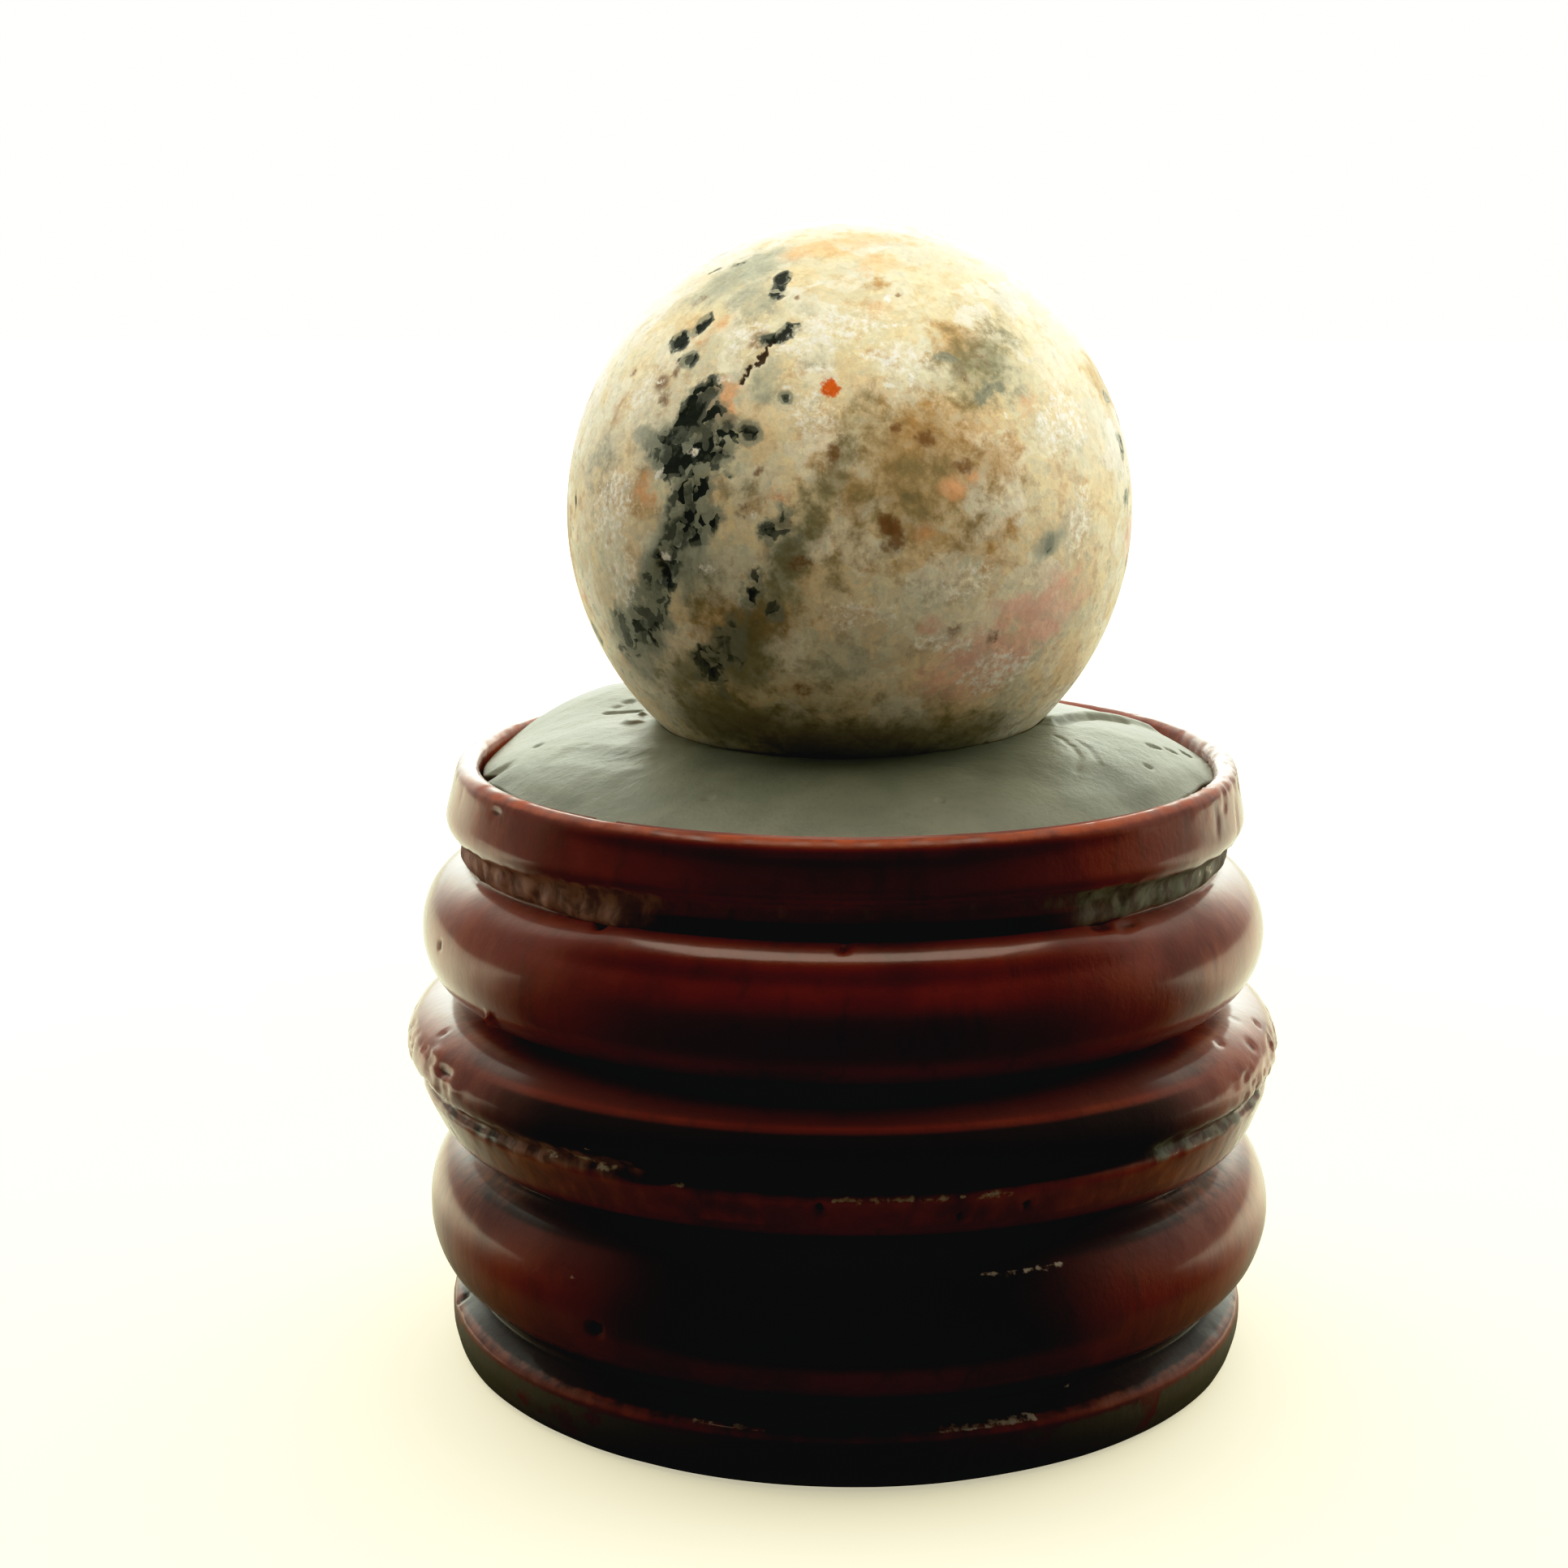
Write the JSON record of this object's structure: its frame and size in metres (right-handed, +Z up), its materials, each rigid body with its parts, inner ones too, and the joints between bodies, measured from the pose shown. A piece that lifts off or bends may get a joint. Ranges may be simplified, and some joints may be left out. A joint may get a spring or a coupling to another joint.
{
  "type": "decorative sphere on a stand",
  "caption": "Polished stone ball bedded in a putty pad on a round turned wooden stand with tori, a lipped flange and a recessed rim.",
  "frame": {"origin": "centre of the stand's underside, on the surface that it stands on", "axes": "+Z up through the stand and the ball; -Y towards the viewer; +X to the viewer's right"},
  "size_m": [0.0632, 0.0632, 0.0806],
  "materials": {
    "lacquered_wood": "glossy red-brown lacquer, scuffed on the lips and torn in the grooves",
    "putty": "matt grey-green modelling putty, pressed by hand",
    "stone": "polished, mottled cream and grey with dark pitted patches"
  },
  "bodies": {
    "root": {"turned_stand": "lacquered_wood", "putty_pad": "putty", "stone_sphere": "stone"}
  },
  "joints": []
}
